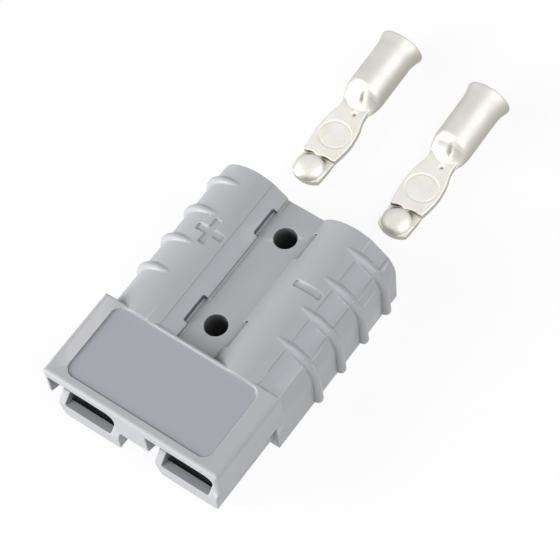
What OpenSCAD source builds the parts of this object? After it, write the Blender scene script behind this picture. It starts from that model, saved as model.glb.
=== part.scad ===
// Genderless two-pole power connector: one moulded housing, its two leaf
// springs, and the two loose crimp contacts that go in from the wire end.
// Y runs from the mating face to the wire end, and the housing sits on Z = 0.
// The origin is midway between the two mounting holes, on the seating face.

/* [Housing] */
// Width across the hood
body_w = 36.6; // [36:0.1:38]
// Length from the mating face to the wire end
body_l = 50.6; // [49:0.2:56]
// Distance between the centre lines of the two contact chambers
pitch = 20.5; // [20.2:0.1:20.8]
// Height of the hood above the seating face
hood_h = 15.8; // [15:0.1:17]
// Length of the hood
hood_l = 17.7; // [17:0.1:19]
// Thickness of the hood's top wall
hood_t = 1.6; // [1.2:0.1:1.9]
// Radius along the hood's front and side edges
hood_edge_r = 0.9; // [0.4:0.1:1.2]
// Radius along the hood's rear edge
hood_rear_r = 0.3; // [0.1:0.05:0.5]

/* [Label panel] */
// Width of the recessed label panel
label_w = 30; // [26:0.5:31]
// Length of the recessed label panel
label_l = 15.2; // [12:0.1:15.4]
// Land between the mating face and the label panel
label_front = 1.9; // [1.2:0.1:2.2]
// Depth of the label panel
label_depth = 0.3; // [0.1:0.05:0.5]
// Corner radius of the label panel
label_r = 2; // [1:0.25:4]

/* [Mating face] */
// Depth that the mating half reaches in, which is the length of the tongues
mate_depth = 15.6; // [14:0.1:16.4]
// Gap between two halves when mated
mate_gap = 0.3; // [0.2:0.05:0.5]
// Width of each contact channel
channel_w = 9.8; // [9.2:0.1:10.2]
// Floor of the contact channels above the seating face
channel_floor = 3.4; // [3.2:0.1:3.8]
// Height of the contact channels behind the tongues
channel_h = 6.2; // [5.6:0.1:7]
// Distance from the mating face to the back of the contact channels
channel_l = 27; // [25:0.5:29]
// Thickness of the wall on the left of each channel
tongue_wall_l = 1.5; // [1.2:0.1:1.8]
// Thickness of the wall on the right of each channel
tongue_wall_r = 1.7; // [1.4:0.1:1.8]
// Underside of the tongues above the seating face
tongue_bottom = 2.1; // [2:0.05:2.4]
// Height of the lip at the front of each channel above the seating face
lip_h = 5.8; // [5.4:0.1:6.4]
// Length of the lip
lip_l = 1.7; // [1.2:0.1:2.4]
// Radius of the slot's inner top corner
slot_r = 1.6; // [0.8:0.1:2.2]
// Height of the lead-in under the hood's hanging walls
lead_h = 0.9; // [0.4:0.1:1.4]
// Length of the lead-in under the hood's hanging walls
lead_l = 2.1; // [1:0.1:3]
// Inward lean of the tongues' outer left face at the bottom
tongue_lean = 1; // [0.4:0.1:1.4]

/* [Barrels] */
// Distance from a barrel's crest to the upper edge of its flat
flat_x = 3.4; // [3:0.1:3.8]
// Slope of the outer flat in degrees
outer_flat_angle = 41; // [39:0.5:43]
// Slope of the flat beside the web in degrees
inner_flat_angle = 37.5; // [36:0.5:40]
// Distance from a barrel's crest to the step that ends the flat beside the web
step_x = 6.25; // [6:0.05:6.5]
// Inset of the barrels' sides from the hood's sides
side_inset = 0.05; // [0.05:0.05:0.3]
// Draft of the barrels' sides down to the seating face
side_draft = 0.3; // [0:0.05:0.5]

/* [Finger ribs] */
// Number of ribs on each side
rib_count = 4; // [3:1:5]
// Distance between ribs
rib_pitch = 6.75; // [6.4:0.05:7]
// Distance from the last rib to the wire end
rib_end = 3.8; // [3:0.1:6]
// Thickness of each rib
rib_t = 1.9; // [1.4:0.1:2.2]
// How far each rib stands out at the side
rib_out = 1; // [0.8:0.05:1.3]
// Radius of each rib's crest line
rib_arc_r = 8.1; // [7.9:0.05:8.3]
// Height at which each rib turns straight down
rib_turn_z = 8.1; // [7.9:0.05:8.15]
// Height at which each rib ends
rib_low_z = 1.2; // [1.1:0.1:3]

/* [Mounting web] */
// Top of the web between the barrels
web_top = 12.6; // [12:0.1:13]
// Depth of the trough under the web
trough_h = 3.2; // [2:0.1:4]
// Width of the trough at its roof
trough_w = 6; // [5:0.1:6.6]
// Widening of the trough on each side at the seating face
trough_draft = 1.2; // [0.6:0.1:1.8]
// Radius of the mounting holes
hole_r = 2.12; // [1.9:0.02:2.3]
// Distance from the mating face to the front hole
hole_front = 24; // [23.4:0.1:25]
// Distance from the wire end to the rear hole
hole_rear = 6.5; // [5.6:0.1:7]
// Wall of the bosses that carry the holes down to the seating face
boss_t = 2.2; // [1.6:0.1:2.6]
// Half length of the relief cut beside each hole
relief_half_l = 2.9; // [2.5:0.1:3.2]
// Half width of the relief cut beside each hole
relief_half_w = 4.75; // [4.4:0.05:5.4]
// How far each relief cut lies behind its hole's centre
relief_shift = 0.3; // [0:0.1:0.5]

/* [Polarity marks] */
// Length of the marks' strokes
mark_l = 5.4; // [4:0.1:6]
// Width of the marks' strokes
mark_w = 1.35; // [0.8:0.05:1.6]
// Depth of the marks
mark_depth = 0.35; // [0.2:0.05:0.5]
// Radius of the marks' corners
mark_r = 0.35; // [0.1:0.05:0.4]
// Distance from the mating face to the marks
mark_y = 36.7; // [32:0.1:38]

/* [Wire tunnels] */
// Radius of the wire tunnels
wire_r = 5.4; // [5:0.1:5.6]
// Length of the wire tunnels
wire_l = 17; // [14:0.5:18]
// Height of the tunnels' axes above the seating face
wire_z = 8.2; // [7.8:0.1:8.6]

/* [Springs] */
// Width of each leaf spring
spring_w = 6.8; // [6:0.1:8]
// Thickness of the leaf springs
spring_t = 0.4; // [0.3:0.05:0.5]
// Height of the springs' crest above the channel floor
spring_rise = 2.5; // [1.8:0.1:3]
// Gap between a spring's free end and the lip
spring_gap = 0.8; // [0.5:0.1:1.5]
// Length of the foot that lies on the channel floor
spring_foot_l = 4; // [3:0.1:5]
// Depth of the tab that locates each spring
spring_tab_h = 0.9; // [0.6:0.05:1]
// Clearance round the locating tab
spring_clear = 0.1; // [0.05:0.05:0.3]

/* [Contacts] */
// Outer radius of a contact's wire barrel
contact_r = 3.8; // [3.6:0.05:4]
// Inner radius of a contact's wire barrel
contact_bore_r = 3; // [2.8:0.05:3.2]
// Length of a contact's wire barrel
contact_barrel_l = 14.5; // [13:0.5:16]
// Metal left between the bore and the wire barrel's closed end
contact_end = 2; // [1.8:0.1:3]
// Widening of the wire barrel's mouth
flare = 0.5; // [0.2:0.05:0.6]
// Length of the widened mouth
flare_l = 2.6; // [1.5:0.1:3]
// Gap left round a contact's mouth in the housing
contact_clear = 0.3; // [0.1:0.05:0.4]
// Length of the neck between the wire barrel and the blade
neck_l = 2.8; // [2:0.1:3.5]
// Width of the neck
neck_w = 5.2; // [4.6:0.1:6]
// Length of a contact's flat blade
blade_l = 10; // [9:0.1:11]
// Width of a contact's flat blade
blade_w = 7.2; // [6.8:0.1:8]
// Thickness of the blade
blade_t = 1.5; // [1.2:0.1:1.8]
// Height of the blade's face over the wire barrel's axis
blade_face = 0.2; // [-0.2:0.1:0.6]
// Length of the stepped tip
tip_l = 5; // [4.5:0.1:5.4]
// Step down from the blade to the tip
tip_step = 0.8; // [0.5:0.05:1]
// Radius of the latching dome on the tip
dome_r = 2.7; // [2.2:0.05:2.8]
// Height of the latching dome
dome_h = 1.5; // [1:0.1:1.8]
// Distance from the tip's end to the edge of the dome
dome_front = 0.3; // [0.2:0.05:0.5]
// Gap between the dome and the step behind it
dome_gap = 0.25; // [0.1:0.05:0.4]
// Radius of the ring struck into the blade
ring_r = 3.1; // [2.6:0.05:3.2]
// Distance between the dome and the struck ring
ring_gap = 1.8; // [1.6:0.1:2.2]
// Width of the struck ring
ring_w = 0.3; // [0.2:0.05:0.4]
// Depth of the struck ring
ring_depth = 0.15; // [0.1:0.05:0.25]
// Distance from the wire end to the tip of the loose negative contact
contact_away = 8.7; // [6:0.1:20]
// How much farther away the loose positive contact lies
positive_away = 0.8; // [0:0.1:2]
// How far the loose positive contact lies towards the middle
positive_shift = 0.9; // [-1:0.1:2]

/* [Hidden] */
$fn = 96;
eps = 0.01;
sides = [-1, 1];
far = 60;

mid_z = hood_h / 2;
upper_z = mid_z + mate_gap / 2;
lower_z = mid_z - mate_gap / 2;
hood_roof = hood_h - hood_t;
cavity_l = mate_depth + mate_gap;
channel_half = channel_w / 2;
tongue_left = channel_half + tongue_wall_l;
tongue_right = channel_half + tongue_wall_r;
cavity_left = tongue_left + mate_gap * 2;
cavity_right = tongue_right + mate_gap / 2;
tongue_slope = lower_z - lip_h;
barrel_r = (body_w - pitch) / 2;
side_x = body_w / 2 - side_inset;
flat_z = wire_z + sqrt(pow(barrel_r, 2) - pow(flat_x, 2));
rib_side_x = side_x + rib_out;
hole_ys = [hole_front, body_l - hole_rear];
hole_mid_y = (hole_ys[0] + hole_ys[1]) / 2;
contact_l = tip_l + blade_l + neck_l + contact_barrel_l;
contact_bore_l = contact_barrel_l - contact_end;
dome_y = dome_front + dome_r;
mouth_r = contact_r + flare;
tip_under = blade_face - blade_t - tip_step;
lie_angle = atan2(mouth_r + tip_under, contact_l);

// Stands a flat shape up in the XZ plane and runs it along Y from y0 to y1.
module along_y(y0, y1) {
    translate([0, y1, 0])
        rotate([90, 0, 0])
            linear_extrude(y1 - y0)
                children();
}

// Takes a flat shape in Y and Z and runs it along X from x0 to x1.
module along_x(x0, x1) {
    translate([x0, 0, 0])
        rotate([90, 0, 90])
            linear_extrude(x1 - x0)
                children();
}

// Moves the mating face's own frame to the part's origin.
module from_face() {
    translate([0, -hole_mid_y, 0])
        children();
}

// A centred oblong of width w from y = 0 to y = h, its upper corners rounded.
module round_top(w, h, r) {
    translate([-w / 2, 0])
        square([w, h - r]);
    translate([-w / 2 + r, 0])
        square([w - 2 * r, h]);
    for (s = sides)
        translate([s * (w / 2 - r), h - r])
            circle(r);
}

// Side view of the hood: a large radius at the front, a small one behind.
module hood_side_view() {
    difference() {
        square([hood_l, hood_h]);
        difference() {
            translate([-eps, hood_h - hood_edge_r])
                square(hood_edge_r + eps);
            translate([hood_edge_r, hood_h - hood_edge_r])
                circle(hood_edge_r);
        }
        difference() {
            translate([hood_l - hood_rear_r, hood_h - hood_rear_r])
                square(hood_rear_r + eps);
            translate([hood_l - hood_rear_r, hood_h - hood_rear_r])
                circle(hood_rear_r);
        }
    }
}

// Outer form of the hood with all its edges rounded.
module hood_block() {
    intersection() {
        along_y(0, hood_l)
            round_top(body_w, hood_h, hood_edge_r);
        along_x(-body_w, body_w)
            hood_side_view();
        linear_extrude(hood_h)
            translate([0, hood_l])
                mirror([0, 1])
                    round_top(body_w, hood_l, hood_edge_r);
    }
}

// Room over one tongue for the mating half: its walls stop at mid height.
module cavity_view() {
    w = cavity_left + cavity_right;
    translate([-cavity_left, 0]) {
        square([w, hood_roof - slot_r]);
        square([w - slot_r, hood_roof]);
        translate([w - slot_r, hood_roof - slot_r])
            circle(slot_r);
    }
}

// The hood: a top wall and three walls that hang down to mid height.
module hood() {
    difference() {
        hood_block();
        for (s = sides)
            translate([s * pitch / 2, 0, 0])
                along_y(-eps, cavity_l)
                    cavity_view();
        translate([-far / 2, -eps, -eps])
            cube([far, hood_l + 1, upper_z + eps]);
        along_x(-far / 2, far / 2)
            polygon([[-eps, upper_z - eps], [lead_l, upper_z - eps], [-eps, upper_z + lead_h]]);
    }
}

// Front view of one tongue: a trough that stops at mid height.
module tongue_view() {
    polygon([
        [-tongue_left, lower_z],
        [-tongue_left, lip_h],
        [tongue_lean - tongue_left, tongue_bottom],
        [tongue_right - tongue_lean / 2, tongue_bottom],
        [tongue_right, tongue_bottom + tongue_lean / 2],
        [tongue_right, lower_z]
    ]);
}

// One tongue, its walls cut back at a slope above the lip.
module tongue() {
    difference() {
        along_y(0, cavity_l + 1)
            tongue_view();
        along_x(-far / 2, far / 2)
            polygon([[-eps, lip_h], [tongue_slope, lower_z + eps], [-eps, lower_z + eps]]);
    }
}

// Cross-section of one barrel: round, with a flat on its right-hand side.
module barrel_view(angle) {
    difference() {
        translate([0, wire_z])
            circle(barrel_r);
        polygon([
            [flat_x, flat_z],
            [far, flat_z - (far - flat_x) * tan(angle)],
            [far, far],
            [flat_x, far]
        ]);
    }
}

// Cross-section of the body: two barrels, the web and the trough under it.
module body_view() {
    difference() {
        union() {
            intersection() {
                translate([-pitch / 2, 0])
                    barrel_view(inner_flat_angle);
                translate([-side_x, wire_z])
                    square([side_x - pitch / 2 + step_x, far]);
            }
            intersection() {
                translate([pitch / 2, 0])
                    barrel_view(outer_flat_angle);
                translate([0, wire_z])
                    square([side_x, far]);
            }
            polygon([
                [-side_x, wire_z],
                [side_draft - side_x, 0],
                [side_x - side_draft, 0],
                [side_x, wire_z]
            ]);
            translate([-pitch / 2, 0])
                square([pitch, web_top]);
        }
        polygon([
            [-trough_w / 2 - trough_draft, -eps],
            [trough_w / 2 + trough_draft, -eps],
            [trough_w / 2, trough_h],
            [-trough_w / 2, trough_h]
        ]);
    }
}

// A rounded ridge that wraps one side of a barrel, fading out at its crest.
module rib() {
    r = rib_t / 2;
    path_r = rib_arc_r - r;
    path_x = rib_side_x - rib_arc_r;
    translate([path_x, 0, rib_turn_z]) {
        rotate([90, 0, 0])
            rotate_extrude(angle = 92)
                translate([path_r, 0]) {
                    circle(r, $fn = 32);
                    translate([-r, -r])
                        square([r, rib_t]);
                }
        translate([path_r, 0, rib_low_z - rib_turn_z]) {
            cylinder(h = rib_turn_z - rib_low_z, r = r, $fn = 32);
            translate([-r, -r, 0])
                cube([r, rib_t, rib_turn_z - rib_low_z]);
            sphere(r, $fn = 32);
        }
    }
}

// All the ribs on the right-hand side.
module ribs() {
    for (i = [0 : rib_count - 1])
        translate([0, body_l - rib_end - i * rib_pitch, 0])
            rib();
}

// A shallow oblong with round corners for a label.
module label_recess() {
    w = label_w / 2 - label_r;
    translate([0, label_front, hood_h - label_depth])
        linear_extrude(label_depth + 1)
            union() {
                translate([-label_w / 2, label_r])
                    square([label_w, label_l - 2 * label_r]);
                translate([-w, 0])
                    square([2 * w, label_l]);
                for (s = sides, y = [label_r, label_l - label_r])
                    translate([s * w, y])
                        circle(label_r);
            }
}

// The path of one contact through the housing, from the slot to the wire end.
module contact_path() {
    along_y(lip_l, channel_l)
        translate([-channel_half, channel_floor])
            square([channel_w, channel_h]);
    along_y(-eps, lip_l + eps)
        translate([-channel_half, lip_h])
            square([channel_w, mid_z - lip_h]);
    along_y(lip_l, cavity_l)
        translate([-channel_half, channel_floor])
            square([channel_w, mid_z - channel_floor + 1]);
    translate([0, channel_l - 5, wire_z])
        rotate([-90, 0, 0])
            cylinder(h = body_l - channel_l + 4, r = mouth_r + contact_clear);
    translate([0, body_l - wire_l, wire_z])
        rotate([-90, 0, 0])
            cylinder(h = wire_l + 1, r = wire_r);
    translate([-spring_w / 2 - spring_clear, spring_tab_y - spring_clear, channel_floor - spring_tab_h - spring_clear])
        cube([spring_w + 2 * spring_clear, spring_t + 2 * spring_clear, spring_tab_h + spring_clear + 1]);
}

// One stroke of a polarity mark with round corners, on its own axis.
module stroke(w, l) {
    linear_extrude(far) {
        translate([-w / 2, mark_r - l / 2])
            square([w, l - 2 * mark_r]);
        translate([mark_r - w / 2, -l / 2])
            square([w - 2 * mark_r, l]);
        for (x = sides, y = sides)
            translate([x * (w / 2 - mark_r), y * (l / 2 - mark_r)])
                circle(mark_r, $fn = 24);
    }
}

// A polarity mark sunk to an even depth into a barrel's crest.
module mark(plus) {
    translate([0, mark_y, 0])
        difference() {
            union() {
                stroke(mark_l, mark_w);
                if (plus)
                    stroke(mark_w, mark_l);
            }
            translate([0, 0, wire_z])
                rotate([90, 0, 0])
                    cylinder(h = far, r = barrel_r - mark_depth, center = true);
            translate([-far / 2, -far / 2, -1])
                cube([far, far, wire_z + 1]);
        }
}

// Solid posts across the trough, one under each mounting hole.
module bosses() {
    for (y = hole_ys)
        translate([0, y, 0])
            cylinder(h = trough_h + 1, r = hole_r + boss_t);
}

// The mounting holes and the cuts that clear a screw head beside each.
module mounting() {
    for (y = hole_ys) {
        translate([0, y, -1])
            cylinder(h = far, r = hole_r);
        translate([-relief_half_w, y + relief_shift - relief_half_l, web_top])
            cube([2 * relief_half_w, 2 * relief_half_l, far]);
    }
}

// The moulded housing.
module housing() {
    color([0.65, 0.66, 0.68])
        from_face()
            difference() {
                union() {
                    hood();
                    along_y(mate_depth, body_l)
                        body_view();
                    bosses();
                    for (s = sides)
                        translate([s * pitch / 2, 0, 0])
                            tongue();
                    ribs();
                    mirror([1, 0, 0])
                        ribs();
                }
                label_recess();
                mounting();
                for (s = sides)
                    translate([s * pitch / 2, 0, 0]) {
                        contact_path();
                        mark(s < 0);
                    }
            }
}

spring_tab_y = channel_l - 1.2;
spring_foot_y = spring_tab_y - spring_foot_l;
spring_front_y = lip_l + spring_gap;
spring_steps = 28;

// Height of the leaf's underside over the floor, at a share u of its arm.
function leaf_lift(u) = spring_rise * pow(sin(180 * pow(u, 0.8)), 2) * (1 - 0.15 * u);

// Points along the arm, from the foot to the free end.
function leaf_line(lift) = [
    for (i = [0 : spring_steps])
        let (u = i / spring_steps)
            [spring_foot_y + (spring_front_y - spring_foot_y) * u, channel_floor + leaf_lift(u) + lift]
];

// Reverses a list of points.
function reversed(list) = [for (i = [len(list) - 1 : -1 : 0]) list[i]];

// Side view of a spring: a tab, a foot on the channel floor and an arched arm.
function spring_view() = concat(
    leaf_line(0),
    reversed(leaf_line(spring_t)),
    [
        [spring_tab_y + spring_t, channel_floor + spring_t],
        [spring_tab_y + spring_t, channel_floor - spring_tab_h],
        [spring_tab_y, channel_floor - spring_tab_h],
        [spring_tab_y, channel_floor]
    ]
);

// One leaf spring, bent from a flat strip.
module spring(s) {
    color([0.78, 0.79, 0.8])
        from_face()
            translate([s * pitch / 2, 0, 0])
                along_x(-spring_w / 2, spring_w / 2)
                    polygon(spring_view());
}

// Outline of the neck and the blade, hollowed where it steps round the dome.
module blade_view() {
    corner = blade_w / 2 - 1;
    difference() {
        translate([-blade_w / 2, tip_l])
            square([blade_w, blade_l - corner]);
        translate([0, dome_y])
            circle(dome_r + dome_gap);
    }
    translate([0, tip_l + blade_l - corner])
        intersection() {
            circle(blade_w / 2);
            translate([-blade_w / 2, 0])
                square([blade_w, corner]);
        }
    translate([-neck_w / 2, tip_l + blade_l - corner])
        square([neck_w, neck_l + corner + 1]);
}

// Outline of the stepped tip, with a round end.
module tip_view() {
    r = blade_w / 2 - 0.4;
    intersection() {
        translate([0, r])
            circle(r);
        translate([-r, 0])
            square([2 * r, r]);
    }
    translate([-r, r])
        square([2 * r, dome_y + dome_r + 1 - r]);
}

// The wire barrel and its rounded shoulder, with a widened mouth.
module wire_barrel() {
    y0 = contact_l - contact_barrel_l;
    difference() {
        translate([0, y0, 0])
            rotate([-90, 0, 0])
                rotate_extrude() {
                    intersection() {
                        translate([0, contact_r])
                            circle(contact_r);
                        square([contact_r, contact_r]);
                    }
                    translate([0, contact_r])
                        square([contact_r, contact_barrel_l - contact_r]);
                    polygon([
                        [0, contact_barrel_l],
                        [mouth_r, contact_barrel_l],
                        [contact_r, contact_barrel_l - flare_l],
                        [0, contact_barrel_l - flare_l]
                    ]);
                }
        translate([0, contact_l - contact_bore_l, 0])
            rotate([-90, 0, 0])
                cylinder(h = contact_bore_l + 1, r = contact_bore_r);
        translate([0, contact_l - flare_l, 0])
            rotate([-90, 0, 0])
                cylinder(h = flare_l + eps, r1 = contact_bore_r, r2 = contact_bore_r + flare);
    }
}

// The round hump at the tip that snaps over the housing's lip.
module dome() {
    r = (pow(dome_r, 2) + pow(dome_h, 2)) / (2 * dome_h);
    translate([0, dome_y, blade_face - tip_step + dome_h - r])
        intersection() {
            sphere(r);
            translate([-r, -r, r - dome_h - 0.3])
                cube([2 * r, 2 * r, dome_h + 1]);
        }
}

// A contact in its own frame: the wire barrel's axis on Y, the tip at zero.
module contact_form() {
    wire_barrel();
    difference() {
        translate([0, 0, blade_face - blade_t])
            linear_extrude(blade_t)
                blade_view();
        translate([0, dome_y + dome_r + ring_gap + ring_r, blade_face - ring_depth])
            difference() {
                cylinder(h = 1, r = ring_r + ring_w / 2);
                translate([0, 0, -1])
                    cylinder(h = 3, r = ring_r - ring_w / 2);
            }
    }
    translate([0, 0, tip_under])
        linear_extrude(blade_t)
            tip_view();
    dome();
}

// A loose contact, lying on its mouth and its tip behind its own chamber.
module contact(x, away) {
    color([0.9, 0.89, 0.86])
        from_face()
            translate([x, body_l + away, 0])
                translate([0, contact_l, mouth_r * cos(lie_angle)])
                    rotate([lie_angle, 0, 0])
                        translate([0, -contact_l, 0])
                            contact_form();
}

module spring_positive() {
    spring(-1);
}

module spring_negative() {
    spring(1);
}

module contact_positive() {
    contact(positive_shift - pitch / 2, contact_away + positive_away);
}

module contact_negative() {
    contact(pitch / 2, contact_away);
}

housing();
spring_positive();
spring_negative();
contact_positive();
contact_negative();
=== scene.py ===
"""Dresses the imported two-pole power connector: edges, finishes, floor, light and camera."""

import math

import bpy
from mathutils import Matrix, Quaternion, Vector


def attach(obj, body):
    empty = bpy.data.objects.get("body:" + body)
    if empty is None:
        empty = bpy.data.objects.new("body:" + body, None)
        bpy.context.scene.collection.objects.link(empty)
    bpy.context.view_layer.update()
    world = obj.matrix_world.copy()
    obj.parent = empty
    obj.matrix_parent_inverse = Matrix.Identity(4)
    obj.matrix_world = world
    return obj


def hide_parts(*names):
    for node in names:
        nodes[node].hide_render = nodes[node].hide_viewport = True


MM = 0.001
MERGE_WITHIN = 0.002 * MM

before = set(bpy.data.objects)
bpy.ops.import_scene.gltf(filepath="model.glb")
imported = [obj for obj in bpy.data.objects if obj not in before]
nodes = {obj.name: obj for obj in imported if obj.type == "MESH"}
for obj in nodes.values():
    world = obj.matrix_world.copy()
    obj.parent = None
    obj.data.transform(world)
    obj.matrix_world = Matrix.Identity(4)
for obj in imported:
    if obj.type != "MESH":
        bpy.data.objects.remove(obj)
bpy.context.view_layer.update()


# ---------------------------------------------------------------- small helpers
def deselect_all():
    """Leaves nothing selected, so that an operator acts on one piece only."""
    for item in bpy.context.selected_objects:
        item.select_set(False)


def activate(piece):
    """Makes one piece the only selected and active object."""
    deselect_all()
    piece.select_set(True)
    bpy.context.view_layer.objects.active = piece


def apply_modifier(piece, kind, **settings):
    """Adds a modifier, sets it and applies it."""
    activate(piece)
    modifier = piece.modifiers.new(kind.lower(), kind)
    for name, value in settings.items():
        setattr(modifier, name, value)
    bpy.ops.object.modifier_apply(modifier=modifier.name)


def copy_of_node(node, name):
    """A new piece with a CAD node's mesh, its loose triangles merged into one skin."""
    piece = bpy.data.objects.new(name, nodes[node].data.copy())
    bpy.context.scene.collection.objects.link(piece)
    activate(piece)
    bpy.ops.mesh.customdata_custom_splitnormals_clear()
    bpy.ops.object.mode_set(mode="EDIT")
    bpy.ops.mesh.select_all(action="SELECT")
    bpy.ops.mesh.remove_doubles(threshold=MERGE_WITHIN)
    bpy.ops.object.mode_set(mode="OBJECT")
    return piece


def ease_edges(piece, cell, rounds, triangles):
    """One skin over the whole piece, with every edge and inner corner eased by about a cell."""
    apply_modifier(piece, "REMESH", mode="VOXEL", voxel_size=cell)
    apply_modifier(piece, "SMOOTH", factor=0.5, iterations=rounds)
    share = triangles / (2 * len(piece.data.polygons))
    apply_modifier(piece, "DECIMATE", ratio=min(1.0, share))
    activate(piece)
    bpy.ops.object.shade_smooth()
    apply_modifier(piece, "WEIGHTED_NORMAL", weight=60, keep_sharp=False)


def paint(piece, material):
    """Gives a piece one material all over."""
    piece.data.materials.clear()
    piece.data.materials.append(material)


# ---------------------------------------------------------------- node helpers
def new_group(name, inputs, outputs):
    """An empty node group with its named sockets, and its input and output nodes."""
    group = bpy.data.node_groups.new(name, "ShaderNodeTree")
    for label, kind, value in inputs:
        socket = group.interface.new_socket(label, in_out="INPUT", socket_type=kind)
        socket.default_value = value
    for label, kind in outputs:
        group.interface.new_socket(label, in_out="OUTPUT", socket_type=kind)
    return group, group.nodes.new("NodeGroupInput"), group.nodes.new("NodeGroupOutput")


def place_group(tree, group, **values):
    """Places an effect in a material with its own values."""
    node = tree.nodes.new("ShaderNodeGroup")
    node.node_tree = group
    for label, value in values.items():
        node.inputs[label.replace("_", " ")].default_value = value
    return node


def math_node(tree, operation, a, b=None):
    """A math node; a and b are sockets or numbers."""
    node = tree.nodes.new("ShaderNodeMath")
    node.operation = operation
    for place, value in enumerate((a, b)):
        if value is None:
            continue
        if isinstance(value, (int, float)):
            node.inputs[place].default_value = value
        else:
            tree.links.new(value, node.inputs[place])
    return node.outputs[0]


def product(tree, first, *others):
    """All the values multiplied together."""
    for other in others:
        first = math_node(tree, "MULTIPLY", first, other)
    return first


def clamp_node(tree, value):
    """A value held between 0 and 1."""
    clipped = tree.nodes.new("ShaderNodeClamp")
    tree.links.new(value, clipped.inputs["Value"])
    return clipped.outputs["Result"]


def rise(tree, value, start, gain):
    """0 up to the start, then rising with the gain, to 1 at most."""
    over = math_node(tree, "SUBTRACT", value, start)
    return clamp_node(tree, math_node(tree, "MULTIPLY", over, gain))


def away_from(tree, value, middle):
    """How far a value is from the middle, on either side."""
    return math_node(tree, "ABSOLUTE", math_node(tree, "SUBTRACT", value, middle))


def split_vector(tree, vector):
    """The X, Y and Z sockets of a vector."""
    split = tree.nodes.new("ShaderNodeSeparateXYZ")
    tree.links.new(vector, split.inputs["Vector"])
    return split.outputs["X"], split.outputs["Y"], split.outputs["Z"]


def position(tree):
    """Where the surface is, in the frame's metres."""
    return split_vector(tree, tree.nodes.new("ShaderNodeTexCoord").outputs["Object"])


def facing(tree):
    """Which way the surface faces."""
    return split_vector(tree, tree.nodes.new("ShaderNodeNewGeometry").outputs["Normal"])


def noise_node(tree, scale, detail, roughness=0.5, stretch=None):
    """Noise on object coordinates; scale is a socket or a number, per metre."""
    place = tree.nodes.new("ShaderNodeTexCoord").outputs["Object"]
    if stretch:
        mapping = tree.nodes.new("ShaderNodeMapping")
        mapping.inputs["Scale"].default_value = stretch
        tree.links.new(place, mapping.inputs["Vector"])
        place = mapping.outputs["Vector"]
    noise = tree.nodes.new("ShaderNodeTexNoise")
    noise.inputs["Detail"].default_value = detail
    noise.inputs["Roughness"].default_value = roughness
    tree.links.new(place, noise.inputs["Vector"])
    if isinstance(scale, (int, float)):
        noise.inputs["Scale"].default_value = scale
    else:
        tree.links.new(scale, noise.inputs["Scale"])
    return noise.outputs["Fac"]


def mix_colours(tree, mask, a, b):
    """a where the mask is 0 and b where it is 1; colours are sockets or tuples."""
    mix = tree.nodes.new("ShaderNodeMix")
    mix.data_type = "RGBA"
    mix.clamp_factor = True
    tree.links.new(mask, mix.inputs["Factor"])
    for label, value in (("A", a), ("B", b)):
        if isinstance(value, tuple):
            mix.inputs[label].default_value = value
        else:
            tree.links.new(value, mix.inputs[label])
    return mix.outputs["Result"]


def shut_in(tree, reach, least, gain, local=True):
    """1 where the surface is shut in by its surroundings within reach, as in holes and corners."""
    near = tree.nodes.new("ShaderNodeAmbientOcclusion")
    near.samples = 8
    near.only_local = local
    near.inputs["Distance"].default_value = reach
    return rise(tree, math_node(tree, "SUBTRACT", 1.0, near.outputs["AO"]), least, gain)


# ---------------------------------------------------------------- effects
def make_grain_group():
    """Fine surface grain: two sizes of noise summed into one height."""
    group, start, end = new_group(
        "surface_grain",
        [("Scale", "NodeSocketFloat", 3000.0), ("Coarse Share", "NodeSocketFloat", 0.3)],
        [("Height", "NodeSocketFloat")],
    )
    fine = noise_node(group, start.outputs["Scale"], detail=3)
    coarse_scale = math_node(group, "MULTIPLY", start.outputs["Scale"], 0.12)
    coarse = noise_node(group, coarse_scale, detail=2)
    part = math_node(group, "MULTIPLY", coarse, start.outputs["Coarse Share"])
    group.links.new(math_node(group, "ADD", fine, part), end.inputs["Height"])
    return group


def make_cloud_group():
    """Slow, cloudy change between two colours."""
    group, start, end = new_group(
        "cloudy_tint",
        [
            ("Base", "NodeSocketColor", (0.5, 0.5, 0.5, 1)),
            ("Tint", "NodeSocketColor", (0.6, 0.6, 0.6, 1)),
            ("Scale", "NodeSocketFloat", 120.0),
            ("Contrast", "NodeSocketFloat", 1.6),
        ],
        [("Color", "NodeSocketColor"), ("Mask", "NodeSocketFloat")],
    )
    cloud = noise_node(group, start.outputs["Scale"], detail=4, roughness=0.55)
    centred = math_node(group, "SUBTRACT", cloud, 0.5)
    spread = math_node(group, "MULTIPLY", centred, start.outputs["Contrast"])
    mask = math_node(group, "ADD", spread, 0.5)
    tinted = mix_colours(group, mask, start.outputs["Base"], start.outputs["Tint"])
    group.links.new(tinted, end.inputs["Color"])
    group.links.new(mask, end.inputs["Mask"])
    return group


FLAT_POINTINESS = 0.5


def make_edge_group():
    """Masks of outer edges, for painted highlight, and of inner corners, for painted shade, from
    the surface's own form.
    """
    group, start, end = new_group(
        "edge_highlight_and_corner_shade",
        [("Width", "NodeSocketFloat", 0.04)],
        [("Edge", "NodeSocketFloat"), ("Corner", "NodeSocketFloat")],
    )
    form = group.nodes.new("ShaderNodeNewGeometry").outputs["Pointiness"]
    centred = math_node(group, "SUBTRACT", form, FLAT_POINTINESS)
    spread = math_node(group, "DIVIDE", centred, start.outputs["Width"])
    for label, sign in (("Edge", 1.0), ("Corner", -1.0)):
        side = math_node(group, "MULTIPLY", spread, sign)
        group.links.new(clamp_node(group, side), end.inputs[label])
    return group


STRIP_GONE_AT = 1.6  # in widths from the strip's middle; it is solid one width nearer


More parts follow.
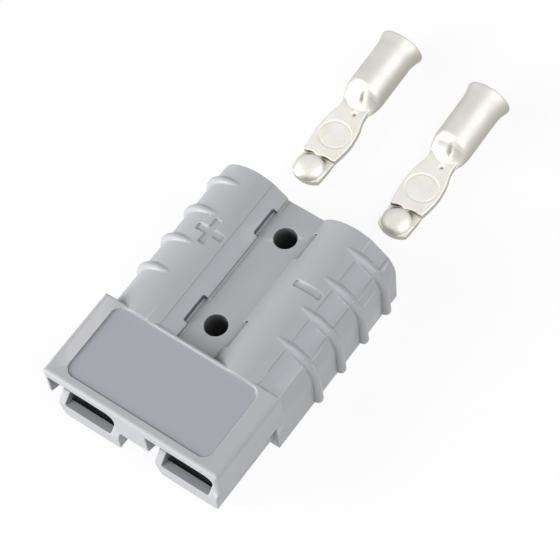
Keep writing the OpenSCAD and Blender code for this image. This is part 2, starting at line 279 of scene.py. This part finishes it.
def make_y_strip_group():
    """A strip along Y at one place across."""
    group, start, end = new_group(
        "length_line",
        [("At", "NodeSocketFloat", 0.0), ("Width", "NodeSocketFloat", 0.0001)],
        [("Mask", "NodeSocketFloat")],
    )
    across = position(group)[0]
    away = away_from(group, across, start.outputs["At"])
    share = math_node(group, "DIVIDE", away, start.outputs["Width"])
    strip = clamp_node(group, math_node(group, "SUBTRACT", STRIP_GONE_AT, share))
    group.links.new(strip, end.inputs["Mask"])
    return group


PANEL_FADE = 0.1 * MM
PANEL_LEVEL = 0.12 * MM
RIM_WIDTH = 0.16 * MM
RIM_GONE_AT = 1.5  # in rim widths from the outline
RIM_DEPTH = 0.3 * MM


def make_panel_group():
    """The floor of the label recess and the rim round it, from an outline with round corners."""
    group, start, end = new_group(
        "label_floor",
        [
            ("Half Width", "NodeSocketFloat", 0.013),
            ("Half Length", "NodeSocketFloat", 0.0056),
            ("Middle Y", "NodeSocketFloat", -0.02455),
            ("Corner", "NodeSocketFloat", 0.002),
            ("Floor Z", "NodeSocketFloat", 0.0155),
        ],
        [("Mask", "NodeSocketFloat"), ("Rim", "NodeSocketFloat")],
    )
    x, y, z = position(group)
    across = math_node(group, "ABSOLUTE", x)
    across = math_node(group, "SUBTRACT", across, start.outputs["Half Width"])
    along = away_from(group, y, start.outputs["Middle Y"])
    along = math_node(group, "SUBTRACT", along, start.outputs["Half Length"])
    squares = []
    for side in (across, along):
        outside = math_node(group, "MAXIMUM", side, 0.0)
        squares.append(math_node(group, "MULTIPLY", outside, outside))
    away = math_node(group, "SQRT", math_node(group, "ADD", *squares))
    inside = math_node(group, "SUBTRACT", start.outputs["Corner"], away)

    flat = clamp_node(group, math_node(group, "DIVIDE", inside, PANEL_FADE))
    lift = math_node(group, "SUBTRACT", z, start.outputs["Floor Z"])
    level = math_node(group, "LESS_THAN", math_node(group, "ABSOLUTE", lift), PANEL_LEVEL)
    group.links.new(product(group, flat, level), end.inputs["Mask"])

    off = math_node(group, "DIVIDE", math_node(group, "ABSOLUTE", inside), RIM_WIDTH)
    rim = clamp_node(group, math_node(group, "SUBTRACT", RIM_GONE_AT, off))
    high = math_node(group, "GREATER_THAN", lift, -RIM_DEPTH)
    group.links.new(product(group, rim, high), end.inputs["Rim"])
    return group


GRAIN = make_grain_group()
CLOUD = make_cloud_group()
EDGE = make_edge_group()
Y_STRIP = make_y_strip_group()
PANEL = make_panel_group()


# ---------------------------------------------------------------- finishes
def new_material(name):
    """A material with its Principled shader ready."""
    material = bpy.data.materials.new(name)
    material.use_nodes = True
    return material, material.node_tree, material.node_tree.nodes["Principled BSDF"]


def add_bump(tree, shader, height, distance, strength):
    """Feeds a height to the shader's normal; the distance is that of a height of 1."""
    bump = tree.nodes.new("ShaderNodeBump")
    bump.inputs["Distance"].default_value = distance
    bump.inputs["Strength"].default_value = strength
    tree.links.new(height, bump.inputs["Height"])
    tree.links.new(bump.outputs["Normal"], shader.inputs["Normal"])


def add_roughness(tree, shader, mask, low, high):
    """Roughness that runs from low to high with a mask."""
    span = math_node(tree, "MULTIPLY", mask, high - low)
    tree.links.new(math_node(tree, "ADD", span, low), shader.inputs["Roughness"])


# Where the housing's colour changes, with painted sheen and painted shade, in metres, and how
# strongly.
BARRELS_FROM_Y = -16.3 * MM
FLATS = ((-5.42 * MM, 0.92 * MM), (15.3 * MM, 1.04 * MM))  # middle across, width
FLATS_ABOVE = 12.9 * MM
LINE_WIDTH = 0.06 * MM
LINE_SHADE_STRENGTH = 0.55
LINES_ABOVE = 12.0 * MM
LEFT_LINE = -6.85 * MM
RIGHT_LINES = (13.65 * MM, 16.95 * MM)
RIB_ORIGIN = -40.35 * MM
RIB_PITCH = 6.75 * MM
RIB_GAP_SHARE = 0.7
HOLES_FROM_MIDDLE = 10.05 * MM
POCKET_HALF_LENGTH = 2.96 * MM
POCKET_SHADE_STRENGTH = 0.85
POCKET_WALL_X = -4.75 * MM
POCKET_WALL_REACH = 0.7 * MM
WEB_TOP = 12.7 * MM
TONGUE_TOP = 8.6 * MM
SLOTS_TO_Y = -17.0 * MM
NEARLY_LEVEL = 0.95  # upward part of the surface's direction
RIM_STRENGTH = 0.7
EDGE_HIGHLIGHT_STRENGTH = 0.8

# Roughness of the moulding, and how much its parts add or take off.
SATIN = 0.4
CLOUD_ADDS = 0.1
PANEL_TAKES = 0.06
HOLE_ADDS = 0.6

# Greys of the moulding: its own tones, and painted sheen, highlight and shade.
GREY = {
    "base": (0.352, 0.357, 0.375, 1),
    "cloud": (0.376, 0.38, 0.396, 1),
    # painted sheen: the flats painted lighter where they catch more light
    "flat": (0.392, 0.395, 0.432, 1),
    # painted shade: dark lines in the creases where the flats begin
    "line": (0.13, 0.13, 0.14, 1),
    # painted shade: the pocket walls turned away from the key light
    "pocket_shade": (0.1, 0.1, 0.11, 1),
    # painted shade: the tongue tops under the hood
    "tongue": (0.265, 0.268, 0.28, 1),
    "panel": (0.31, 0.322, 0.352, 1),
    "rim": (0.12, 0.12, 0.13, 1),
    # painted highlight on the outer edges
    "edge_highlight": (0.5, 0.5, 0.52, 1),
    # painted shade in inner corners
    "corner": (0.1, 0.1, 0.11, 1),
    # painted shade: holes and channels darkened nearly to black
    "hole": (0.02, 0.02, 0.022, 1),
}


def flats_sheen_mask(tree, y, z):
    """The flats of the two barrels, behind the hood, painted lighter as painted sheen."""
    strips = [place_group(tree, Y_STRIP, At=at, Width=width).outputs["Mask"] for at, width in FLATS]
    behind = math_node(tree, "GREATER_THAN", y, BARRELS_FROM_Y)
    raised = math_node(tree, "GREATER_THAN", z, FLATS_ABOVE)
    return product(tree, math_node(tree, "MAXIMUM", *strips), behind, raised)


def crease_shade_lines_mask(tree, y, z):
    """Painted shade: thin dark lines in the creases where the flats begin, broken by the ribs on
    the right-hand barrel.
    """
    along = math_node(tree, "SUBTRACT", y, RIB_ORIGIN)
    turn = math_node(tree, "FRACT", math_node(tree, "MULTIPLY", along, 1 / RIB_PITCH))
    between_ribs = math_node(tree, "LESS_THAN", turn, RIB_GAP_SHARE)
    left, *rights = [
        place_group(tree, Y_STRIP, At=at, Width=LINE_WIDTH).outputs["Mask"]
        for at in (LEFT_LINE, *RIGHT_LINES)
    ]
    right = product(tree, math_node(tree, "MAXIMUM", *rights), between_ribs)
    behind = math_node(tree, "GREATER_THAN", y, BARRELS_FROM_Y)
    above = math_node(tree, "GREATER_THAN", z, LINES_ABOVE)
    lines = math_node(tree, "MAXIMUM", left, right)
    return product(tree, lines, behind, above, LINE_SHADE_STRENGTH)


def pocket_wall_shade_mask(tree, x, y, z, facing_x):
    """The upright walls of the screw-head pockets in the left-hand barrel, painted dark as painted
    shade where they face away from the key light.
    """
    from_hole = away_from(tree, math_node(tree, "ABSOLUTE", y), HOLES_FROM_MIDDLE)
    beside = math_node(tree, "LESS_THAN", from_hole, POCKET_HALF_LENGTH)
    from_wall = away_from(tree, x, POCKET_WALL_X)
    wall = math_node(tree, "LESS_THAN", from_wall, POCKET_WALL_REACH)
    over_web = math_node(tree, "GREATER_THAN", z, WEB_TOP)
    upright = rise(tree, facing_x, start=0.75, gain=6.0)
    return product(tree, beside, wall, upright, over_web, POCKET_SHADE_STRENGTH)


def tongues_mask(tree, y, z, facing_z):
    """The level tops of the tongues, inside the mating slots, painted darker as painted shade
    under the hood.
    """
    low = math_node(tree, "LESS_THAN", z, TONGUE_TOP)
    ahead = math_node(tree, "LESS_THAN", y, SLOTS_TO_Y)
    level = math_node(tree, "GREATER_THAN", facing_z, NEARLY_LEVEL)
    return product(tree, low, ahead, level)


def make_housing_plastic():
    """Grey moulded plastic: satin, finely spark-eroded, with a smooth panel, flats painted lighter
    as painted sheen, and painted highlight and shade.
    """
    material, tree, shader = new_material("grey_moulding")
    x, y, z = position(tree)
    facing_x, facing_y, facing_z = facing(tree)
    cloud = place_group(tree, CLOUD, Base=GREY["base"], Tint=GREY["cloud"], Scale=90.0)
    colour = cloud.outputs["Color"]
    for mask, grey in (
        (flats_sheen_mask(tree, y, z), "flat"),
        (crease_shade_lines_mask(tree, y, z), "line"),
        (pocket_wall_shade_mask(tree, x, y, z, facing_x), "pocket_shade"),
        (tongues_mask(tree, y, z, facing_z), "tongue"),
    ):
        colour = mix_colours(tree, mask, colour, GREY[grey])

    # The label panel is smooth, and the two walls turned from the light edge it darkly.
    recess = place_group(tree, PANEL)
    panel = recess.outputs["Mask"]
    colour = mix_colours(tree, panel, colour, GREY["panel"])
    turned = rise(tree, math_node(tree, "ADD", facing_x, facing_y), start=0.1, gain=3.0)
    rim = product(tree, recess.outputs["Rim"], turned, RIM_STRENGTH)
    colour = mix_colours(tree, rim, colour, GREY["rim"])

    # Painted highlight on outer edges, painted shade in inner corners, and painted shade that
    # darkens holes and channels.
    edge = place_group(tree, EDGE, Width=0.09)
    highlight_mask = product(tree, edge.outputs["Edge"], EDGE_HIGHLIGHT_STRENGTH)
    colour = mix_colours(tree, highlight_mask, colour, GREY["edge_highlight"])
    near = shut_in(tree, reach=2.0 * MM, least=0.26, gain=2.2)
    colour = mix_colours(tree, near, colour, GREY["corner"])
    inner = shut_in(tree, reach=12.0 * MM, least=0.5, gain=3.6)
    colour = mix_colours(tree, inner, colour, GREY["hole"])
    tree.links.new(colour, shader.inputs["Base Color"])

    grain = place_group(tree, GRAIN, Scale=5200.0, Coarse_Share=0.5)
    satin = math_node(tree, "ADD", product(tree, cloud.outputs["Mask"], CLOUD_ADDS), SATIN)
    satin = math_node(tree, "SUBTRACT", satin, product(tree, panel, PANEL_TAKES))
    satin = math_node(tree, "ADD", satin, product(tree, inner, HOLE_ADDS))
    tree.links.new(satin, shader.inputs["Roughness"])
    add_bump(tree, shader, grain.outputs["Height"], distance=0.02 * MM, strength=0.35)
    return material


# The plate is painted darker on the drawn barrels, which begin beyond this place, to tone down
# their highlight, and on steep sides: both are painted shade.
BARREL_FROM_Y = 41.5 * MM
BARREL_FADE = 3.5 * MM
SIDE_POWER = 1.6
SIDE_SHADE_STRENGTH = 0.75
CORNER_SHADE_STRENGTH = 0.6

PLATE = {
    "base": (0.68, 0.672, 0.655, 1),
    "tarnish": (0.6, 0.575, 0.505, 1),
    # painted shade: the barrel painted darker to tone down its highlight
    "barrel": (0.535, 0.525, 0.5, 1),
    # painted shade on steep sides
    "side": (0.4, 0.378, 0.3, 1),
    # painted shade in inner corners
    "corner": (0.22, 0.2, 0.14, 1),
    # painted shade in creases and dents
    "crease_shade": (0.16, 0.145, 0.1, 1),
}


def make_silver_plate():
    """Dull silver plate with faint warm tarnish and fine forming marks, and painted shade on the
    barrel, steep sides, inner corners and creases.
    """
    material, tree, shader = new_material("silver_plate")
    cloud = place_group(
        tree, CLOUD, Base=PLATE["base"], Tint=PLATE["tarnish"], Scale=260.0, Contrast=2.2
    )
    facing_z = facing(tree)[2]
    upright = math_node(tree, "SUBTRACT", 1.0, math_node(tree, "ABSOLUTE", facing_z))
    steep_side_shade = product(tree, math_node(tree, "POWER", upright, SIDE_POWER), SIDE_SHADE_STRENGTH)
    along = position(tree)[1]
    edge = place_group(tree, EDGE, Width=0.08)
    colour = cloud.outputs["Color"]
    for mask, name in (
        (rise(tree, along, BARREL_FROM_Y, 1 / BARREL_FADE), "barrel"),
        (steep_side_shade, "side"),
        (product(tree, edge.outputs["Corner"], CORNER_SHADE_STRENGTH), "corner"),
        (shut_in(tree, reach=1.0 * MM, least=0.12, gain=3.0), "crease_shade"),
    ):
        colour = mix_colours(tree, mask, colour, PLATE[name])
    tree.links.new(colour, shader.inputs["Base Color"])
    shader.inputs["Metallic"].default_value = 1.0
    grain = place_group(tree, GRAIN, Scale=2600.0, Coarse_Share=1.2)
    add_roughness(tree, shader, cloud.outputs["Mask"], low=0.5, high=0.62)
    add_bump(tree, shader, grain.outputs["Height"], distance=0.02 * MM, strength=0.5)
    return material


STEEL = {
    "base": (0.58, 0.58, 0.59, 1),
    "cloud": (0.66, 0.66, 0.66, 1),
    "deep_shade": (0.06, 0.06, 0.06, 1),
}


def make_spring_strip():
    """Rolled stainless strip with fine lines along its length, and painted shade where the housing
    shuts it in.
    """
    material, tree, shader = new_material("spring_strip")
    cloud = place_group(tree, CLOUD, Base=STEEL["base"], Tint=STEEL["cloud"], Scale=300.0)
    # painted shade: the strip darkened where the housing shuts it in
    inner = shut_in(tree, reach=12.0 * MM, least=0.4, gain=3.5, local=False)
    colour = mix_colours(tree, inner, cloud.outputs["Color"], STEEL["deep_shade"])
    tree.links.new(colour, shader.inputs["Base Color"])
    shader.inputs["Metallic"].default_value = 1.0
    lines = noise_node(tree, 2400.0, detail=3, roughness=0.6, stretch=(1.0, 0.03, 1.0))
    add_roughness(tree, shader, lines, low=0.22, high=0.42)
    add_bump(tree, shader, lines, distance=0.01 * MM, strength=0.4)
    return material


PLASTIC = make_housing_plastic()
SILVER = make_silver_plate()
STRIP = make_spring_strip()


# ---------------------------------------------------------------- pieces
HOUSING_CELL = 0.1 * MM
HOUSING_TRIANGLES = 190000


def make_housing_shell():
    """The housing with every moulded edge eased to a small radius."""
    shell = copy_of_node("housing", "housing_shell")
    ease_edges(shell, cell=HOUSING_CELL, rounds=3, triangles=HOUSING_TRIANGLES)
    paint(shell, PLASTIC)
    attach(shell, "root")
    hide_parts("housing")


# A contact in its own frame, in millimetres: the tip at zero, the wire barrel's axis on Y.
CONTACT_LENGTH = 32.3
CONTACT_LIE = math.radians(3.896)
CONTACT_AXIS_UP = 4.29
CONTACT_TIPS = {"contact_positive": (-9.15, 26.05), "contact_negative": (10.27, 25.25)}

# Rings of the wire barrel, from the bottom of its bore out over the mouth and back along the
# outside to the flattened neck: place along Y, half width, half height, height of the middle.
BARREL_RINGS = (
    (20.6, 2.5, 2.5, 0.0),
    (21.0, 2.95, 2.95, 0.0),
    (25.0, 3.0, 3.0, 0.0),
    (29.4, 3.02, 3.02, 0.0),
    (30.6, 3.25, 3.15, -0.05),
    (31.5, 3.6, 3.4, -0.15),
    (31.95, 3.95, 3.68, -0.2),
    (32.08, 4.15, 3.86, -0.2),
    (32.0, 4.34, 4.03, -0.2),
    (31.7, 4.36, 4.05, -0.2),
    (31.0, 4.15, 3.93, -0.12),
    (30.2, 3.92, 3.84, -0.06),
    (29.2, 3.8, 3.8, 0.0),
    (26.0, 3.77, 3.77, 0.0),
    (22.5, 3.77, 3.77, 0.0),
    (20.6, 3.77, 3.74, 0.0),
    (19.8, 3.74, 3.5, -0.1),
    (19.2, 3.66, 3.05, -0.25),
    (18.6, 3.52, 2.4, -0.45),
    (18.0, 3.34, 1.75, -0.6),
    (17.4, 3.1, 1.25, -0.65),
    (16.8, 2.88, 0.95, -0.62),
    (16.2, 2.72, 0.78, -0.6),
    (15.4, 2.62, 0.7, -0.58),
    (14.4, 2.5, 0.6, -0.56),
)

# Half width of the flat blade at places along Y, and how far its middle is off the axis.
BLADE_OUTLINE = (
    (0.0, 2.95, -0.15),
    (1.1, 3.02, -0.15),
    (3.0, 3.08, -0.12),
    (5.2, 3.12, -0.05),
    (6.0, 3.25, 0.0),
    (7.2, 3.45, 0.06),
    (8.6, 3.63, 0.1),
    (10.3, 3.72, 0.1),
    (12.0, 3.6, 0.08),
    (13.3, 3.38, 0.05),
    (14.3, 3.1, 0.0),
    (15.2, 2.82, 0.0),
    (16.2, 2.68, 0.0),
    (18.4, 2.66, 0.0),
)
BLADE_END = 18.0
BLADE_TOP = 0.2
BLADE_BOTTOM = -1.3
BLADE_CELLS = (76, 180)
TIP_TOP = -0.55
TIP_BOTTOM = -1.8
NOSE_RADIUS = 4.6
STEP_Y = 5.42
DOME_CENTRE = (-0.12, 2.8)
DOME_RADIUS = 2.78
DOME_RISE = 1.15
RING_CENTRE = (0.1, 10.3)
RING_RADIUS = 3.0
RING_DEPTH = 0.1
RING_WIDTH = 0.14
RING_FLOOR = 0.05

# Dents that the squeezing left at the neck: place across and along, half widths, depth.
CREASES = (
    (0.75, 18.4, 0.36, 0.62, 0.62),
    (0.75, 15.6, 0.3, 0.4, 0.4),
    (-1.5, 18.5, 1.3, 0.9, 0.35),
)
UPPER_SIDE = -0.5
CONTACT_CELL = 0.11


def along_table(table, y):
    """The values of a table of stations at the place y, run straight between them."""
    for low, high in zip(table, table[1:]):
        if y <= high[0]:
            share = (y - low[0]) / (high[0] - low[0])
            return [a + (b - a) * share for a, b in zip(low[1:], high[1:])]
    return list(table[-1][1:])


def ramp(value, low, high):
    """A soft step from 0 at low to 1 at high."""
    share = min(max((value - low) / (high - low), 0.0), 1.0)
    return share * share * (3 - 2 * share)


def blade_height(x, y):
    """Height of the pressed top face: the step, the nose dome and the struck ring."""
    step_y = STEP_Y + 0.1 * x - 0.1 * math.cos(2.1 * x)  # it leans and waves a little
    height = TIP_TOP + (BLADE_TOP - TIP_TOP) * ramp(y, step_y - 0.1, step_y + 0.12)
    from_dome = math.hypot(x - DOME_CENTRE[0], y - DOME_CENTRE[1]) / DOME_RADIUS
    if from_dome < 1:
        height = max(height, TIP_TOP + DOME_RISE * (1 - from_dome ** 3.2) ** 0.7)
    from_ring = math.hypot(x - RING_CENTRE[0], (y - RING_CENTRE[1]) * 1.1)
    height -= RING_DEPTH * math.exp(-(((from_ring - RING_RADIUS) / RING_WIDTH) ** 2))
    height -= RING_FLOOR * (1 - ramp(from_ring, 2.8, 3.1))
    if y > 6:  # the blade behind the step is very slightly wavy
        height += 0.02 * math.sin(1.3 * x + 0.9 * y) * math.sin(0.8 * x - 1.1 * y)
    return height


def make_blade():
    """The flat blade with its stepped and domed tip, pressed from one strip."""
    deselect_all()
    bpy.ops.mesh.primitive_grid_add(
        x_subdivisions=BLADE_CELLS[0], y_subdivisions=BLADE_CELLS[1], size=1.0
    )
    blade = bpy.context.object
    for vertex in blade.data.vertices:
        y = (vertex.co.y + 0.5) * BLADE_END
        half, middle = along_table(BLADE_OUTLINE, y)
        x = vertex.co.x * 2 * half
        set_back = NOSE_RADIUS - math.sqrt(NOSE_RADIUS ** 2 - x ** 2)
        y += max(0.0, 1 - y / 3) * set_back
        vertex.co = (x + middle, y, blade_height(x + middle, y))
    bpy.ops.object.mode_set(mode="EDIT")
    bpy.ops.mesh.select_all(action="SELECT")
    bpy.ops.mesh.extrude_region_move(TRANSFORM_OT_translate={"value": (0, 0, -1.5)})
    bpy.ops.object.mode_set(mode="OBJECT")
    for vertex in blade.data.vertices:
        if vertex.select:
            low = 1 - ramp(vertex.co.y, 4.6, 5.8)
            vertex.co.z = BLADE_BOTTOM + (TIP_BOTTOM - BLADE_BOTTOM) * low
    return blade


def make_barrel():
    """The wire barrel: a drawn tube with a widened mouth, its other end squeezed flat."""
    deselect_all()
    start_y, start_radius = BARREL_RINGS[0][:2]
    bpy.ops.mesh.primitive_circle_add(
        vertices=72, radius=start_radius, fill_type="NGON",
        location=(0, start_y, 0), rotation=(math.radians(90), 0, 0),
    )
    barrel = bpy.context.object
    bpy.ops.object.transform_apply(location=True, rotation=True, scale=True)
    bpy.ops.object.mode_set(mode="EDIT")
    bpy.ops.mesh.select_all(action="SELECT")
    for last, ring in zip(BARREL_RINGS, BARREL_RINGS[1:]):
        move = (0, ring[0] - last[0], ring[3] - last[3])
        bpy.ops.mesh.extrude_region_move(TRANSFORM_OT_translate={"value": move})
        bpy.ops.transform.resize(
            value=(ring[1] / last[1], 1, ring[2] / last[2]), center_override=(0, ring[0], ring[3])
        )
    bpy.ops.object.mode_set(mode="OBJECT")
    return barrel


def pinch(piece):
    """Sinks the creases into the upper side of the barrel's shoulder and of the neck."""
    for vertex in piece.data.vertices:
        if vertex.co.z < UPPER_SIDE:
            continue
        for x, y, wide, long, depth in CREASES:
            away = ((vertex.co.x - x) / wide) ** 2 + ((vertex.co.y - y) / long) ** 2
            vertex.co.z -= depth * math.exp(-away)


def make_contact():
    """One formed contact in its own frame, in millimetres."""
    barrel = make_barrel()
    blade = make_blade()
    deselect_all()
    blade.select_set(True)
    barrel.select_set(True)
    bpy.context.view_layer.objects.active = barrel
    bpy.ops.object.join()
    activate(barrel)
    bpy.ops.object.mode_set(mode="EDIT")
    bpy.ops.mesh.select_all(action="SELECT")
    bpy.ops.mesh.normals_make_consistent(inside=False)
    bpy.ops.object.mode_set(mode="OBJECT")
    apply_modifier(barrel, "REMESH", mode="VOXEL", voxel_size=CONTACT_CELL)
    pinch(barrel)
    apply_modifier(barrel, "SMOOTH", factor=0.5, iterations=2)
    return barrel


def place_contact(form, node):
    """A copy of the contact, turned onto its mouth and tip and put where the CAD has it."""
    piece = bpy.data.objects.new(node + "_formed", form.data.copy())
    bpy.context.scene.collection.objects.link(piece)
    x, tip_y = CONTACT_TIPS[node]
    mouth = Matrix.Translation((x, tip_y + CONTACT_LENGTH, CONTACT_AXIS_UP))
    turn = Matrix.Rotation(CONTACT_LIE, 4, "X")
    piece.data.transform(
        Matrix.Scale(MM, 4) @ mouth @ turn @ Matrix.Translation((0, -CONTACT_LENGTH, 0))
    )
    activate(piece)
    bpy.ops.object.shade_smooth()
    paint(piece, SILVER)
    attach(piece, "root")
    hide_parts(node)


make_housing_shell()
contact_form = make_contact()
for name in CONTACT_TIPS:
    place_contact(contact_form, name)
bpy.data.objects.remove(contact_form)
for name in ("spring_positive", "spring_negative"):
    paint(nodes[name], STRIP)


# ---------------------------------------------------------------- floor and light
FLOOR_RADIUS = 3.0
FLOOR_Z = -0.02 * MM
FLOOR_LIFT = 0.9  # how far the seen floor is lifted to plain white
WORLD_SOFT = 0.1
WORLD_SEEN = 1.0
LAMPS_AIM = (0, 0.01, 0)


def seen_directly(tree):
    """1 for rays from the camera and for mirror and glass rays, 0 for the rest."""
    path = tree.nodes.new("ShaderNodeLightPath")
    either = math_node(
        tree, "MAXIMUM", path.outputs["Is Camera Ray"], path.outputs["Is Glossy Ray"]
    )
    return math_node(tree, "MAXIMUM", either, path.outputs["Is Transmission Ray"])


def mix_shaders(tree, fac, a, b):
    """Shader a where the factor is 0 and b where it is 1; it is a socket or a number."""
    mix = tree.nodes.new("ShaderNodeMixShader")
    if isinstance(fac, (int, float)):
        mix.inputs["Fac"].default_value = fac
    else:
        tree.links.new(fac, mix.inputs["Fac"])
    tree.links.new(a, mix.inputs[1])
    tree.links.new(b, mix.inputs[2])
    return mix.outputs["Shader"]


def make_floor():
    """A wide white floor that shows no edge and keeps a faint shadow."""
    deselect_all()
    bpy.ops.mesh.primitive_circle_add(
        vertices=64, radius=FLOOR_RADIUS, fill_type="NGON", location=(0, 0, FLOOR_Z)
    )
    floor = bpy.context.object
    floor.name = "floor"
    material, tree, shader = new_material("floor_white")
    shader.inputs["Base Color"].default_value = (0.9, 0.9, 0.9, 1)
    shader.inputs["Roughness"].default_value = 0.9
    shader.inputs["Specular IOR Level"].default_value = 0.1
    plain = shader.outputs["BSDF"]
    glow = tree.nodes.new("ShaderNodeEmission").outputs["Emission"]
    lifted = mix_shaders(tree, FLOOR_LIFT, plain, glow)
    choice = mix_shaders(tree, seen_directly(tree), plain, lifted)
    tree.links.new(choice, tree.nodes["Material Output"].inputs["Surface"])
    paint(floor, material)


def make_world():
    """White where it is seen or mirrored, and a plain soft light elsewhere."""
    world = bpy.data.worlds.new("studio")
    world.use_nodes = True
    tree = world.node_tree
    tree.nodes.clear()
    lights = []
    for strength in (WORLD_SOFT, WORLD_SEEN):
        light = tree.nodes.new("ShaderNodeBackground")
        light.inputs["Color"].default_value = (1, 1, 1, 1)
        light.inputs["Strength"].default_value = strength
        lights.append(light.outputs["Background"])
    choice = mix_shaders(tree, seen_directly(tree), *lights)
    tree.links.new(choice, tree.nodes.new("ShaderNodeOutputWorld").inputs["Surface"])
    bpy.context.scene.world = world


def add_soft_box(name, place, size, power):
    """A square lamp that faces the middle of the object."""
    data = bpy.data.lights.new(name, "AREA")
    data.size = size
    data.energy = power
    lamp = bpy.data.objects.new(name, data)
    lamp.location = place
    lamp.rotation_mode = "QUATERNION"
    lamp.rotation_quaternion = (Vector(LAMPS_AIM) - lamp.location).to_track_quat("-Z", "Y")
    bpy.context.scene.collection.objects.link(lamp)


def make_camera(place, aim, roll, lens):
    """The camera, turned about its own line of sight by the roll in degrees."""
    data = bpy.data.cameras.new("camera")
    data.sensor_width = 36.0
    data.lens = lens
    data.clip_start = 0.01
    data.clip_end = 10.0
    camera = bpy.data.objects.new("camera", data)
    camera.location = place
    camera.rotation_mode = "QUATERNION"
    sight = (Vector(aim) - Vector(place)).to_track_quat("-Z", "Y")
    camera.rotation_quaternion = sight @ Quaternion((0, 0, 1), math.radians(-roll))
    bpy.context.scene.collection.objects.link(camera)
    bpy.context.scene.camera = camera


make_floor()
make_world()
add_soft_box("key_left", place=(-0.572, -0.572, 0.28), size=0.75, power=14.2)
add_soft_box("fill_right", place=(0.546, 0.01, 0.65), size=0.9, power=6.2)
make_camera(
    place=(0.15508, -0.1505, 0.3906), aim=(0.00216, 0.00477, 0.008), roll=10.105, lens=165.04
)
bpy.context.scene.view_settings.view_transform = "Standard"
